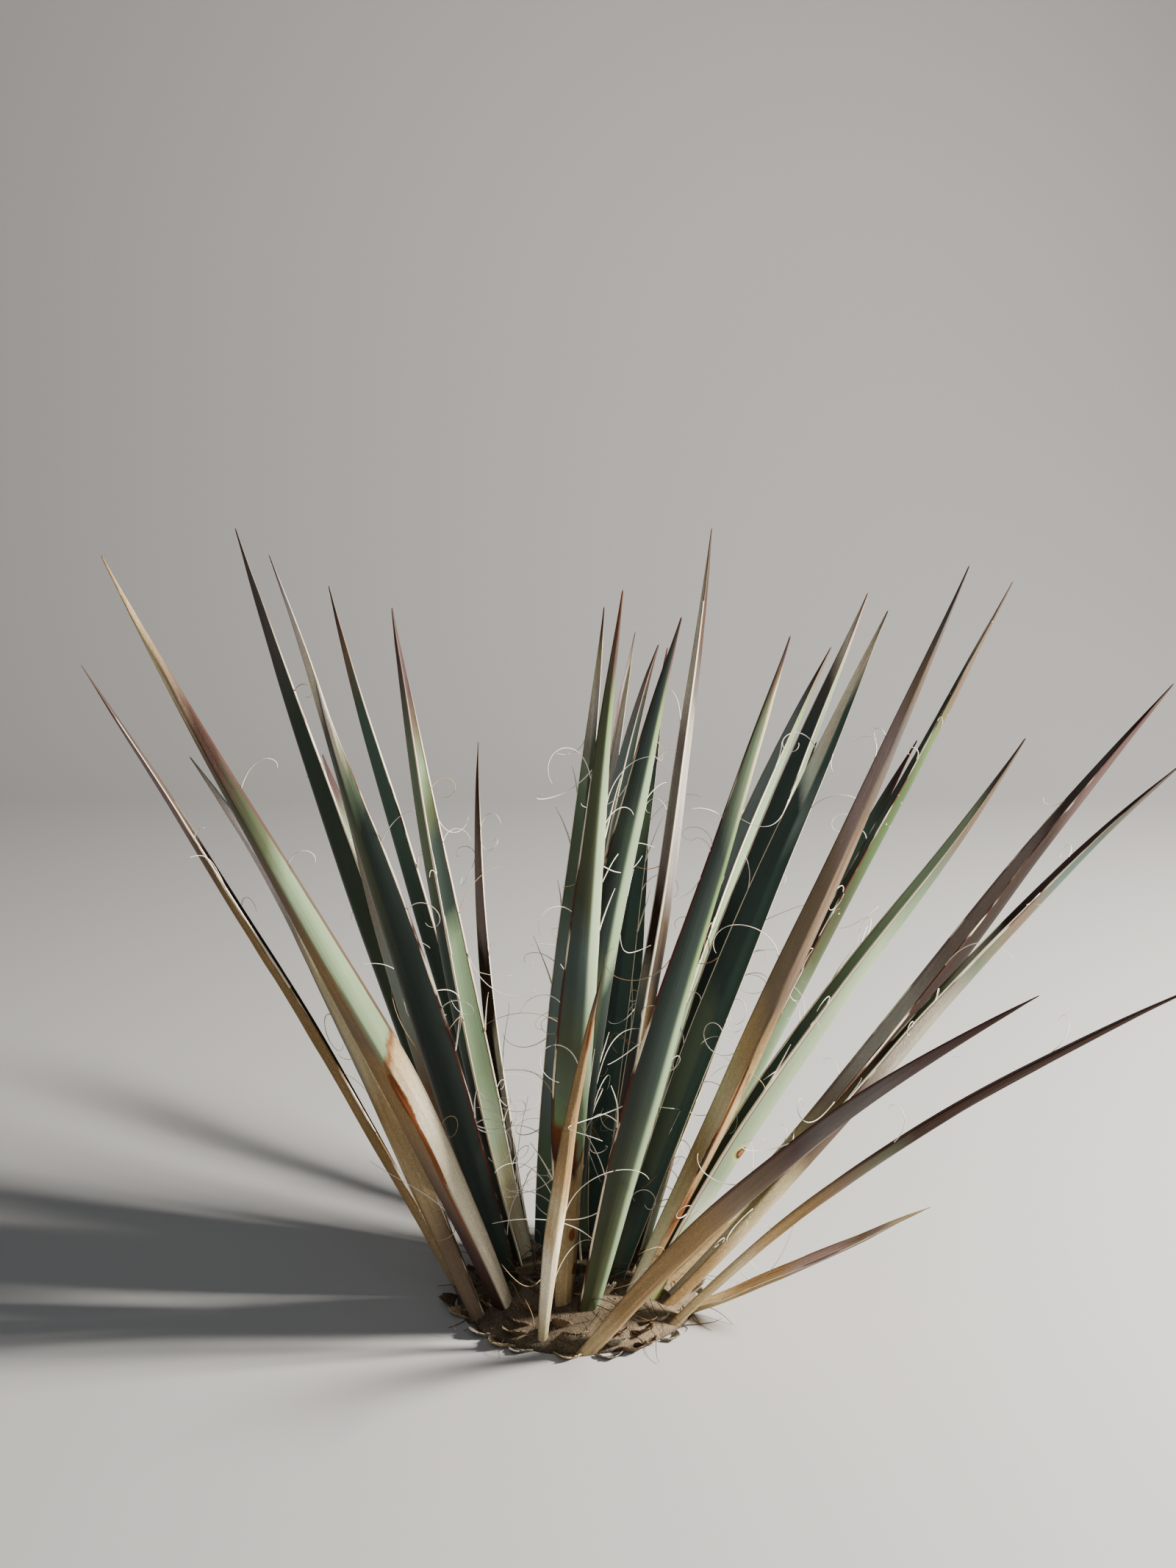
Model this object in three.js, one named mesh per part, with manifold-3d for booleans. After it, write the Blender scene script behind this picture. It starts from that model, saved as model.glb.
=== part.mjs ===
// A stemless desert yucca: one clump of long, stiff, gutter-shaped leaves on a low woody crown.
// The ground is at z = 0, the middle of the crown's flat cut is the origin, and the plant is
// seen from the front along +Y. Lengths are in millimetres and angles in degrees.
import * as THREE from "three";
import { mergeVertices } from "three/addons/utils/BufferGeometryUtils.js";
import Module from "manifold-3d";

// The crown the leaves grow from, a low mound cut flat at the ground and longer along X.
const crownRadius = 120;
const crownStretch = 1.12;
const crownHeight = 42;
const crownProfile = [
  [crownRadius, 0],
  [117, 6],
  [105, 14],
  [85, 24],
  [58, 34],
  [30, 40],
  [0, crownHeight],
];
const crownSegments = 40;

// A leaf's foot follows the crown at this distance, and starts this deep along the leaf.
const footClearance = 0.3;
const footDepth = 26;

// Width of a slender and of a full-shouldered leaf: [share of the length, share of the full width].
// Every leaf is mixed from the two at its own fullness, and below zero it is slimmer still.
const slenderWidth = [
  [0, 0.54],
  [0.1, 0.72],
  [0.25, 0.93],
  [0.36, 1],
  [0.48, 0.88],
  [0.6, 0.7],
  [0.7, 0.55],
  [0.8, 0.39],
  [0.9, 0.21],
  [0.96, 0.09],
  [1, 0.02],
];
const fullWidth = [
  [0, 0.54],
  [0.1, 0.72],
  [0.25, 0.91],
  [0.4, 1],
  [0.5, 0.98],
  [0.6, 0.91],
  [0.7, 0.79],
  [0.8, 0.6],
  [0.9, 0.33],
  [0.96, 0.14],
  [1, 0.02],
];
// Thickness of the flesh over the keel, in millimetres, along the leaf.
const thicknessAlongLeaf = [
  [0, 8],
  [0.2, 6.5],
  [0.5, 5.5],
  [0.8, 4.2],
  [0.95, 3],
  [1, 0.6],
];
const thickestToHalfWidth = 1.2;
// The margin of each wing is a thin edge, never more than this share of the flesh.
const marginThickness = 1.6;
const marginOfThickness = 0.4;
// The section, as shares of the half width. Each leaf's gutter says how far the wings rise from
// the keel; the shares of that rise say how far a wing's hollow and belly lie under the middle line.
const hollowAt = 0.55;
const hollowDrop = 0.08;
const bellyAt = 0.5;
const bellyDrop = 0.12;
const bellyFlesh = 0.7;
// Stations where the section is drawn, closer together where the leaf narrows fast.
const stations = [0, 0.05, 0.12, 0.2, 0.29, 0.38, 0.47, 0.56, 0.65, 0.73, 0.8, 0.86, 0.91, 0.95, 0.98];

// Every leaf, from where its foot stands on the crown to where it points.
// foot: place on the crown. bearing: compass angle from +X towards +Y. rise: angle above level.
// sag: bow towards the upper face. curl: lean of the outer half to the upper face and of the
// inner half away from it. sway: bow to the right, looking along the leaf.
// roll: turn of the gutter about the leaf, at its half length. twist: how much more the tip is
// turned than the foot. width: full width across both wings. gutter: rise of the wings.
const leaves = [
  { name: "left_leaf_1", foot: [-80, -54], bearing: 223.1, rise: 63.3, length: 932,
    sag: 8, curl: -5, sway: 0, roll: -44, twist: 35, width: 40, fullness: 0, gutter: 0.8 },
  { name: "left_leaf_2", foot: [-131, 6], bearing: 182.0, rise: 61.9, length: 808,
    sag: 9, curl: 0, sway: 0, roll: -8, twist: 30, width: 27, fullness: 0.5, gutter: 0.7 },
  { name: "left_leaf_3", foot: [-109, -55], bearing: 166.9, rise: 63.0, length: 682,
    sag: 20, curl: 5, sway: 0, roll: -65, twist: 0, width: 36, fullness: 0.6, gutter: 0.7 },
  { name: "left_leaf_4", foot: [-94, 42], bearing: 175.0, rise: 72.1, length: 877,
    sag: -9, curl: 0, sway: 0, roll: -45, twist: 0, width: 46, fullness: 0.9, gutter: 0.5 },
  { name: "left_leaf_5", foot: [-76, 10], bearing: 183, rise: 73.5, length: 836,
    sag: -14, curl: 10, sway: 0, roll: -20, twist: 0, width: 40, fullness: 0.9, gutter: 0.5 },
  { name: "left_leaf_6", foot: [-77, -11], bearing: 227.5, rise: 71.0, length: 735,
    sag: 4, curl: 0, sway: 8, roll: -15, twist: 0, width: 46, fullness: 0.9, gutter: 0.5 },
  { name: "left_leaf_7", foot: [-58, 52], bearing: 163.9, rise: 73.6, length: 793,
    sag: -5, curl: 0, sway: 0, roll: -45, twist: 0, width: 42, fullness: 0.9, gutter: 0.5 },
  { name: "left_leaf_8", foot: [-61, 20], bearing: 177.9, rise: 80.0, length: 752,
    sag: -12, curl: 0, sway: 0, roll: 15, twist: -12, width: 46, fullness: 0.8, gutter: 0.9 },
  { name: "left_leaf_9", foot: [-58, 82], bearing: 105.4, rise: 66.2, length: 612,
    sag: 0, curl: 0, sway: -18, roll: 60, twist: 0, width: 23, fullness: 0.5, gutter: 0.5 },
  { name: "middle_leaf_1", foot: [-38, 56], bearing: 72.5, rise: 71.9, length: 756,
    sag: 0, curl: 0, sway: -1, roll: 15, twist: 0, width: 46, fullness: -0.3, gutter: 0.5 },
  { name: "middle_leaf_2", foot: [-12, -60], bearing: 301.9, rise: 82.2, length: 784,
    sag: 0, curl: 0, sway: 10, roll: -4, twist: 38, width: 52, fullness: -0.4, gutter: 0.5 },
  { name: "middle_leaf_3", foot: [-35.5, -104], bearing: 308.9, rise: 77.0, length: 444,
    sag: 6, curl: 0, sway: 4.5, roll: 12, twist: 0, width: 21, fullness: 0.2, gutter: 0.5 },
  { name: "middle_leaf_4", foot: [-10, 82], bearing: 75.6, rise: 64.0, length: 757,
    sag: 0, curl: 0, sway: -16, roll: 0, twist: 0, width: 27, fullness: 1, gutter: 0.5 },
  { name: "middle_leaf_5", foot: [4, 22], bearing: 60, rise: 75, length: 700,
    sag: 15, curl: 0, sway: -32, roll: -100, twist: 0, width: 50, fullness: 0.9, gutter: 0.9 },
  { name: "middle_leaf_6", foot: [-10, -22], bearing: 323.4, rise: 79.2, length: 752,
    sag: 14, curl: 0, sway: 14, roll: 18, twist: 0, width: 43, fullness: 1, gutter: 0.5 },
  { name: "middle_leaf_7", foot: [18, 56], bearing: 74, rise: 62, length: 740,
    sag: 0, curl: 0, sway: -8, roll: 0, twist: 0, width: 34, fullness: 0.7, gutter: 0.5 },
  { name: "middle_leaf_8", foot: [28, 20], bearing: 48.3, rise: 77.1, length: 831,
    sag: 0, curl: 0, sway: 9, roll: 32, twist: 0, width: 34, fullness: 0.5, gutter: 0.9 },
  { name: "right_leaf_1", foot: [16, -68], bearing: 326.2, rise: 73.5, length: 773,
    sag: 4, curl: 0, sway: 4, roll: 14, twist: 0, width: 56, fullness: 0, gutter: 0.5 },
  { name: "right_leaf_2", foot: [54, 54], bearing: 44.2, rise: 62.1, length: 758,
    sag: 14, curl: 0, sway: -22, roll: 28, twist: 0, width: 45, fullness: 0.9, gutter: 0.9 },
  { name: "right_leaf_3", foot: [66, 26], bearing: 27, rise: 68.5, length: 802,
    sag: 10, curl: 0, sway: -10, roll: 3, twist: 0, width: 50, fullness: 0.6, gutter: 0.9 },
  { name: "right_leaf_4", foot: [46, -14], bearing: 8.0, rise: 68.9, length: 787,
    sag: 10, curl: 0, sway: 0, roll: -55, twist: 0, width: 36, fullness: 0.7, gutter: 0.9 },
  { name: "right_leaf_5", foot: [62, -44.5], bearing: 338.0, rise: 67.9, length: 868,
    sag: -6, curl: 0, sway: 0, roll: 65, twist: 0, width: 29, fullness: 0.5, gutter: 0.6 },
  { name: "right_leaf_6", foot: [82, 8], bearing: 9.0, rise: 63.2, length: 863,
    sag: 2, curl: 0, sway: 0, roll: 10, twist: 0, width: 34, fullness: 0.5, gutter: 0.9 },
  { name: "right_leaf_7", foot: [82, -36], bearing: 351.0, rise: 59.8, length: 732,
    sag: 13, curl: -6, sway: 0, roll: -5, twist: -10, width: 50, fullness: 0.3, gutter: 0.9 },
  { name: "right_leaf_8", foot: [104, 6], bearing: 9, rise: 50, length: 868,
    sag: -14, curl: 8, sway: 0, roll: 8, twist: 0, width: 48, fullness: 0.5, gutter: 1 },
  { name: "right_leaf_9", foot: [102, -37], bearing: 2.0, rise: 48.6, length: 802,
    sag: 10, curl: 7, sway: 0, roll: 12, twist: 0, width: 44, fullness: 0.5, gutter: 0.8 },
  { name: "right_leaf_10", foot: [18, -114], bearing: 339.9, rise: 45.4, length: 620,
    sag: 27, curl: 2, sway: 0, roll: 25, twist: 0, width: 50, fullness: 0.6, gutter: 0.5 },
  { name: "right_leaf_11", foot: [108, -62], bearing: 347.1, rise: 39.3, length: 666,
    sag: 32, curl: 0, sway: 0, roll: 15, twist: 0, width: 38, fullness: 0.5, gutter: 0.5 },
  { name: "right_leaf_12", foot: [124, -36], bearing: 348.7, rise: 29.9, length: 295,
    sag: -4, curl: 0, sway: 0, roll: 0, twist: 0, width: 24, fullness: 0.5, gutter: 0.5 },
  { name: "back_leaf_1", foot: [-94, 70], bearing: 128, rise: 55, length: 660,
    sag: 10, curl: 0, sway: 0, roll: 0, twist: 0, width: 46, fullness: 0.5, gutter: 0.5 },
  { name: "back_leaf_2", foot: [-16, 108], bearing: 84, rise: 46, length: 640,
    sag: 14, curl: 0, sway: 0, roll: 0, twist: 0, width: 48, fullness: 0.5, gutter: 0.5 },
  { name: "back_leaf_3", foot: [24, 98], bearing: 80, rise: 52, length: 700,
    sag: 10, curl: 0, sway: 0, roll: 0, twist: 0, width: 48, fullness: 0.5, gutter: 0.5 },
  { name: "back_leaf_4", foot: [64, 84], bearing: 56, rise: 50, length: 700,
    sag: 12, curl: 0, sway: 0, roll: 0, twist: 0, width: 46, fullness: 0.5, gutter: 0.5 },
  { name: "back_leaf_5", foot: [100, 48], bearing: 39, rise: 54, length: 700,
    sag: 12, curl: 0, sway: 0, roll: 0, twist: 0, width: 44, fullness: 0.5, gutter: 0.5 },
];

// Scales the curl's wave so that it reaches the stated curl at its crest.
const waveToCrest = 2.6;

const crownBrown = 0x6b5238;
const leafGreen = 0x7d9079;
const dryRoughness = 0.7;

const toRadians = (degrees) => (degrees * Math.PI) / 180;

// Straight-line reading of a list of [place, value] pairs.
function readAlong(list, place) {
  for (let i = 1; i < list.length; i += 1) {
    const [fromPlace, fromValue] = list[i - 1];
    const [toPlace, toValue] = list[i];
    if (place <= toPlace) {
      return fromValue + ((toValue - fromValue) * (place - fromPlace)) / (toPlace - fromPlace);
    }
  }
  return list[list.length - 1][1];
}

// Height of the crown's skin over a place on the ground.
function crownHeightAt(x, y) {
  const inwards = crownProfile.map(([radius, height]) => [-radius, height]);
  return readAlong(inwards, -Math.hypot(x / crownStretch, y));
}

// Closed triangle mesh from a list of equal rings, a flat cap on the first and a point after the last.
function closeRings(rings, tip) {
  const sides = rings[0].length;
  const points = rings.flat().concat([tip]);
  const index = [];
  for (let ring = 0; ring + 1 < rings.length; ring += 1) {
    for (let i = 0; i < sides; i += 1) {
      const next = (i + 1) % sides;
      const a = ring * sides + i;
      const b = ring * sides + next;
      index.push(a, b, b + sides, a, b + sides, a + sides);
    }
  }
  const last = (rings.length - 1) * sides;
  for (let i = 0; i < sides; i += 1) {
    index.push(last + i, last + ((i + 1) % sides), points.length - 1);
  }
  // The section is mirror-symmetric, so its cap is a ladder between the two halves.
  for (let i = 0; i < sides / 2 - 1; i += 1) {
    const left = i;
    const right = sides - 1 - i;
    index.push(left, right, right - 1, left, right - 1, left + 1);
  }
  const geometry = new THREE.BufferGeometry();
  geometry.setAttribute("position", new THREE.Float32BufferAttribute(points.flatMap((p) => p.toArray()), 3));
  geometry.setIndex(index);
  return geometry;
}

// The leaf's middle line: a straight reach with a bow in it.
function leafMiddleLine(leaf) {
  const bearing = toRadians(leaf.bearing);
  const rise = toRadians(leaf.rise);
  const along = new THREE.Vector3(
    Math.cos(rise) * Math.cos(bearing),
    Math.cos(rise) * Math.sin(bearing),
    Math.sin(rise),
  );
  const upper = new THREE.Vector3(
    -Math.sin(rise) * Math.cos(bearing),
    -Math.sin(rise) * Math.sin(bearing),
    Math.cos(rise),
  );
  const right = new THREE.Vector3().crossVectors(along, upper);
  const [x, y] = leaf.foot;
  const foot = new THREE.Vector3(x, y, crownHeightAt(x, y));
  const pointAt = (place) => {
    const bow = 4 * place * (1 - place);
    const wave = waveToCrest * bow * (2 * place - 1);
    return foot
      .clone()
      .addScaledVector(along, leaf.length * place)
      .addScaledVector(upper, leaf.sag * bow + leaf.curl * wave)
      .addScaledVector(right, leaf.sway * bow);
  };
  return { along, upper, pointAt };
}

// One leaf as a closed gutter with a keel, drawn section by section from its foot to its spine.
function leafGeometry(leaf) {
  const line = leafMiddleLine(leaf);
  const footPlace = -footDepth / leaf.length;
  const smallStep = 0.001;
  const rings = [footPlace, ...stations].map((place) => {
    const middle = line.pointAt(place);
    const ahead = line.pointAt(place + smallStep);
    const along = ahead.sub(middle).normalize();
    const upper = line.upper.clone().addScaledVector(along, -line.upper.dot(along)).normalize();
    upper.applyAxisAngle(along, -toRadians(leaf.roll + leaf.twist * (place - 0.5)));
    const right = new THREE.Vector3().crossVectors(along, upper);
    const share = Math.max(place, 0);
    const slender = readAlong(slenderWidth, share);
    const full = readAlong(fullWidth, share);
    const halfWidth = (leaf.width * (slender + (full - slender) * leaf.fullness)) / 2;
    const thickness = Math.min(readAlong(thicknessAlongLeaf, share), halfWidth * thickestToHalfWidth);
    const margin = Math.min(marginThickness, thickness * marginOfThickness);
    const wing = halfWidth * leaf.gutter;
    const edge = wing / 2;
    const hollow = -wing * hollowDrop;
    const belly = -wing * bellyDrop - thickness * bellyFlesh;
    const section = [
      [-1, edge],
      [-hollowAt, hollow],
      [0, thickness / 2 - edge],
      [hollowAt, hollow],
      [1, edge],
      [1, edge - margin],
      [bellyAt, belly],
      [0, -thickness / 2 - edge],
      [-bellyAt, belly],
      [-1, edge - margin],
    ];
    return section.map(([across, height]) =>
      middle
        .clone()
        .addScaledVector(right, across * halfWidth)
        .addScaledVector(upper, height),
    );
  });
  return closeRings(rings, line.pointAt(1));
}

const wasm = await Module();
wasm.setup();

function toManifold(geometry) {
  const plain = new THREE.BufferGeometry();
  plain.setAttribute("position", geometry.getAttribute("position"));
  plain.setIndex(geometry.getIndex());
  const merged = mergeVertices(plain);
  return new wasm.Manifold(
    new wasm.Mesh({
      numProp: 3,
      vertProperties: new Float32Array(merged.getAttribute("position").array),
      triVerts: new Uint32Array(merged.getIndex().array),
    }),
  );
}

function fromManifold(solid) {
  const mesh = solid.getMesh();
  const geometry = new THREE.BufferGeometry();
  geometry.setAttribute("position", new THREE.Float32BufferAttribute(mesh.vertProperties, 3));
  geometry.setIndex(Array.from(mesh.triVerts));
  return geometry;
}

// The crown turned about its axis, larger than drawn by a clearance where one is asked for.
function crownGeometry(clearance) {
  const sides = crownSegments;
  const outline = crownProfile.map(([radius, height]) => {
    return [radius > 0 ? radius + clearance : 0, height + clearance];
  });
  if (clearance > 0) {
    outline.unshift([crownRadius + clearance, -crownHeight]);
  }
  const top = outline.pop();
  const rings = outline.map(([radius, height]) =>
    Array.from({ length: sides }, (_, i) => {
      const angle = (i / sides) * Math.PI * 2;
      return new THREE.Vector3(radius * crownStretch * Math.cos(angle), radius * Math.sin(angle), height);
    }),
  );
  return closeRings(rings, new THREE.Vector3(0, 0, top[1]));
}

// What every leaf is trimmed by: the crown with its clearance, and everything below the ground.
const groundReach = 2000;
const groundDepth = 400;
const belowGround = toManifold(
  new THREE.BoxGeometry(groundReach, groundReach, groundDepth).translate(0, 0, -groundDepth / 2),
);
const seat = toManifold(crownGeometry(footClearance)).add(belowGround);

// A trimmed leaf can leave crumbs under the crown, so the largest piece is the leaf.
function largestPiece(solid) {
  const pieces = solid.decompose();
  pieces.sort((a, b) => b.volume() - a.volume());
  return pieces[0];
}

const plant = new THREE.Group();
plant.name = "yucca";

function addPart(name, geometry, color) {
  const material = new THREE.MeshStandardMaterial({ color, roughness: dryRoughness, metalness: 0 });
  const mesh = new THREE.Mesh(geometry, material);
  mesh.name = name;
  plant.add(mesh);
}

addPart("crown", crownGeometry(0), crownBrown);
for (const leaf of leaves) {
  const whole = toManifold(leafGeometry(leaf));
  addPart(leaf.name, fromManifold(largestPiece(whole.subtract(seat))), leafGreen);
}

export default plant;
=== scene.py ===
# %% [markdown]
# # A stemless desert yucca
# One clump of long, stiff leaves stands on a low crown. Each leaf is a thick gutter with a keel
# along its back, thin brown margins that shed curling white fibres, and a hard dark spine at its
# tip. The CAD model gives the size and the place of every leaf. This script gives each leaf its
# real surface, adds the crown's old leaf bases and the fibres, and lights the plant in a studio.

# %% Load the frame
import math
import bpy
import numpy as np
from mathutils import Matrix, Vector


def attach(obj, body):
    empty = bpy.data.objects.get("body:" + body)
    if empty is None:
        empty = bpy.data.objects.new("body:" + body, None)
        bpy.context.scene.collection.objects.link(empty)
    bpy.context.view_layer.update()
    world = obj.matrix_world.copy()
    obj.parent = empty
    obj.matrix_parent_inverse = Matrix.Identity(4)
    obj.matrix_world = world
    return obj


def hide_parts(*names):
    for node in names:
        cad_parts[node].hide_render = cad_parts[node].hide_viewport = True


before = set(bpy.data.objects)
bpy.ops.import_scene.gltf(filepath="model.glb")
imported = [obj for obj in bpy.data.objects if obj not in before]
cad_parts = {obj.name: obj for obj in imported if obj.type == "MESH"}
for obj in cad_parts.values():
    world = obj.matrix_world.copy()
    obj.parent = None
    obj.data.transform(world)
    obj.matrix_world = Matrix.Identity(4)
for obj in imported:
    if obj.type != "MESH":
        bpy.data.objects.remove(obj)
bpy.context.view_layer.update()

# %% [markdown]
# ## The camera
# The clump was seen from 1.7 m in front of it, with the lens just under a metre above the ground and
# tipped down so that the whole plant fits. The near leaves then grow as they really do.

# %% Camera
camera_place = (0.0124, -1.705, 0.95)
camera_pitch = 11.9
lens_mm = 38.0
sensor_mm = 36.0

camera_data = bpy.data.cameras.new("view")
camera_data.sensor_fit = "VERTICAL"
camera_data.sensor_height = sensor_mm
camera_data.lens = lens_mm
camera = bpy.data.objects.new("view", camera_data)
camera.location = camera_place
camera.rotation_euler = (math.radians(90 - camera_pitch), 0, 0)
bpy.context.collection.objects.link(camera)
bpy.context.scene.camera = camera
print("camera looks down by", camera_pitch, "degrees")

# %% [markdown]
# ## Where every leaf stands
# This plant is a particular one, so no rule scatters its leaves. Each gets a row of real measures,
# the same as in the CAD model, in millimetres and degrees. Bearing is the compass angle from +X
# towards +Y, rise the angle above level, and roll turns the gutter about the leaf.

# %% Rows of measures
columns = "x y bearing rise length sag curl sway roll twist width fullness gutter".split()
rows = """
left_leaf_1 -80 -54 223.1 63.3 932 8 -5 0 -44 35 40 0 0.8
left_leaf_2 -131 6 182 61.9 808 9 0 0 -8 30 27 0.5 0.7
left_leaf_3 -109 -55 166.9 63 682 20 5 0 -65 0 36 0.6 0.7
left_leaf_4 -94 42 175 72.1 877 -9 0 0 -45 0 46 0.9 0.5
left_leaf_5 -76 10 183 73.5 836 -14 10 0 -20 0 40 0.9 0.5
left_leaf_6 -77 -11 227.5 71 735 4 0 8 -15 0 46 0.9 0.5
left_leaf_7 -58 52 163.9 73.6 793 -5 0 0 -45 0 42 0.9 0.5
left_leaf_8 -61 20 177.9 80 752 -12 0 0 15 -12 46 0.8 0.9
left_leaf_9 -58 82 105.4 66.2 612 0 0 -18 60 0 23 0.5 0.5
middle_leaf_1 -38 56 72.5 71.9 756 0 0 -1 15 0 46 -0.3 0.5
middle_leaf_2 -12 -60 301.9 82.2 784 0 0 10 -4 38 52 -0.4 0.5
middle_leaf_3 -35.5 -104 308.9 77 444 6 0 4.5 12 0 21 0.2 0.5
middle_leaf_4 -10 82 75.6 64 757 0 0 -16 0 0 27 1 0.5
middle_leaf_5 4 22 60 75 700 15 0 -32 -100 0 50 0.9 0.9
middle_leaf_6 -10 -22 323.4 79.2 752 14 0 14 18 0 43 1 0.5
middle_leaf_7 18 56 74 62 740 0 0 -8 0 0 34 0.7 0.5
middle_leaf_8 28 20 48.3 77.1 831 0 0 9 32 0 34 0.5 0.9
right_leaf_1 16 -68 326.2 73.5 773 4 0 4 14 0 56 0 0.5
right_leaf_2 54 54 44.2 62.1 758 14 0 -22 28 0 45 0.9 0.9
right_leaf_3 66 26 27 68.5 802 10 0 -10 3 0 50 0.6 0.9
right_leaf_4 46 -14 8 68.9 787 10 0 0 -55 0 36 0.7 0.9
right_leaf_5 62 -44.5 338 67.9 868 -6 0 0 65 0 29 0.5 0.6
right_leaf_6 82 8 9 63.2 863 2 0 0 10 0 34 0.5 0.9
right_leaf_7 82 -36 351 59.8 732 13 -6 0 -5 -10 50 0.3 0.9
right_leaf_8 104 6 9 50 868 -14 8 0 8 0 48 0.5 1
right_leaf_9 102 -37 2 48.6 802 10 7 0 12 0 44 0.5 0.8
right_leaf_10 18 -114 339.9 45.4 620 27 2 0 25 0 50 0.6 0.5
right_leaf_11 108 -62 347.1 39.3 666 32 0 0 15 0 38 0.5 0.5
right_leaf_12 124 -36 348.7 29.9 295 -4 0 0 0 0 24 0.5 0.5
back_leaf_1 -94 70 128 55 660 10 0 0 0 0 46 0.5 0.5
back_leaf_2 -16 108 84 46 640 14 0 0 0 0 48 0.5 0.5
back_leaf_3 24 98 80 52 700 10 0 0 0 0 48 0.5 0.5
back_leaf_4 64 84 56 50 700 12 0 0 0 0 46 0.5 0.5
back_leaf_5 100 48 39 54 700 12 0 0 0 0 44 0.5 0.5
"""
leaves = {}
for row in rows.strip().splitlines():
    name, *numbers = row.split()
    leaves[name] = dict(zip(columns, map(float, numbers)))
print(len(leaves), "leaves, the longest", max(leaf["length"] for leaf in leaves.values()), "mm")

# %% [markdown]
# ## The crown's height and the leaf's outline
# The leaves grow from a low mound, whose profile says how high each foot stands. A leaf is widest a
# third of the way up. Then it runs in slowly to its point or keeps its shoulders for longer, so two
# width tables are mixed by each leaf's fullness.

# %% Crown profile, widths and thickness
crown_stretch = 1.12
crown_radius = np.array([0, 30, 58, 85, 105, 117, 120])
crown_height = np.array([42, 40, 34, 24, 14, 6, 0])
slender_place = np.array([0, 0.1, 0.25, 0.36, 0.48, 0.6, 0.7, 0.8, 0.9, 0.96, 1])
slender_width = np.array([0.54, 0.72, 0.93, 1, 0.88, 0.7, 0.55, 0.39, 0.21, 0.09, 0.02])
full_place = np.array([0, 0.1, 0.25, 0.4, 0.5, 0.6, 0.7, 0.8, 0.9, 0.96, 1])
full_width = np.array([0.54, 0.72, 0.91, 1, 0.98, 0.91, 0.79, 0.6, 0.33, 0.14, 0.02])
flesh_place = np.array([0, 0.2, 0.5, 0.8, 0.95, 1])
flesh_thickness = np.array([8, 6.5, 5.5, 4.2, 3, 0.6])
wave_to_crest = 2.6


def crown_height_at(x, y):
    return float(np.interp(math.hypot(x / crown_stretch, y), crown_radius, crown_height))


def crown_spot(angle, radius):
    return radius * math.cos(angle) * crown_stretch, radius * math.sin(angle)


def smooth_reading(place, places, values):
    """A table read at each place, with its corners rounded off."""
    reach = 0.03
    steps = (-1, -0.5, 0, 0.5, 1)
    return sum(np.interp(np.clip(place + s * reach, 0, 1), places, values) for s in steps) / len(steps)


def half_width(leaf, place):
    slender = smooth_reading(place, slender_place, slender_width)
    full = smooth_reading(place, full_place, full_width)
    return leaf["width"] / 2 * (slender + (full - slender) * leaf["fullness"])


print("crown is", crown_height[0], "mm high and", 2 * crown_radius[-1], "mm deep")

# %% [markdown]
# ## A leaf's line and its three directions
# The section needs a middle point and three directions at each place: along the leaf, towards its
# upper face, and to its right. The line is straight with a bow in it, as stiff leaves are, and a
# slow wander keeps neighbours from looking like copies.

# %% Middle line
seed_of = {name: 100 + i for i, name in enumerate(leaves)}
wander_mm = 1.3
wander_turn = 3.0


def unit(v):
    return v / np.linalg.norm(v, axis=-1, keepdims=True)


def turned(v, axis, angle):
    """Vectors turned about unit axes at right angles to them."""
    return v * np.cos(angle)[..., None] + np.cross(axis, v) * np.sin(angle)[..., None]


def slow_wave(place, seed, waves):
    """A smooth curve between -1 and 1 that is zero at the foot."""
    draw = np.random.default_rng(seed)
    total = np.zeros_like(place)
    for turn in range(1, waves + 1):
        total += np.sin(turn * 2.1 * place * math.pi + draw.uniform(0, 6.3)) / turn
    return total * np.clip(place * 4, 0, 1) / 1.6


def leaf_frame(name, place):
    """Middle points and along, upper and right directions of a leaf at an array of places."""
    leaf = leaves[name]
    place = np.asarray(place, float)
    bearing, rise = math.radians(leaf["bearing"]), math.radians(leaf["rise"])
    level, steep = math.cos(rise), math.sin(rise)
    along = np.array([level * math.cos(bearing), level * math.sin(bearing), steep])
    upper = np.array([-steep * math.cos(bearing), -steep * math.sin(bearing), level])
    right = np.cross(along, upper)
    foot = np.array([leaf["x"], leaf["y"], crown_height_at(leaf["x"], leaf["y"])])

    def point(p):
        bow = 4 * p * (1 - p)
        wave = wave_to_crest * bow * (2 * p - 1)
        lift = leaf["sag"] * bow + leaf["curl"] * wave + wander_mm * slow_wave(p, seed_of[name], 3)
        side = leaf["sway"] * bow + wander_mm * slow_wave(p, seed_of[name] + 50, 3)
        return foot + np.outer(leaf["length"] * p, along) + np.outer(lift, upper) + np.outer(side, right)

    middle = point(place)
    ahead = unit(point(place + 0.001) - middle)
    face = unit(upper - ahead * (ahead @ upper)[:, None])
    wander = wander_turn * slow_wave(place, seed_of[name] + 90, 2)
    turn = leaf["roll"] + leaf["twist"] * (place - 0.5) + wander
    face = turned(face, ahead, -np.radians(turn))
    return middle, ahead, face, np.cross(ahead, face)


middle, _, _, _ = leaf_frame("left_leaf_1", [0, 1])
print("left_leaf_1 runs from", np.round(middle[0]), "to", np.round(middle[1]))

# %% [markdown]
# ## The section
# Cut across, a leaf is a gutter: the upper face is hollow like a spoon and the back swells to a keel,
# which is blunt at the foot and sharpens towards the tip. The height of each face is a power of the
# distance from the keel. Points lie closer together at the margins, where the flesh turns the corner.

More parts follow.
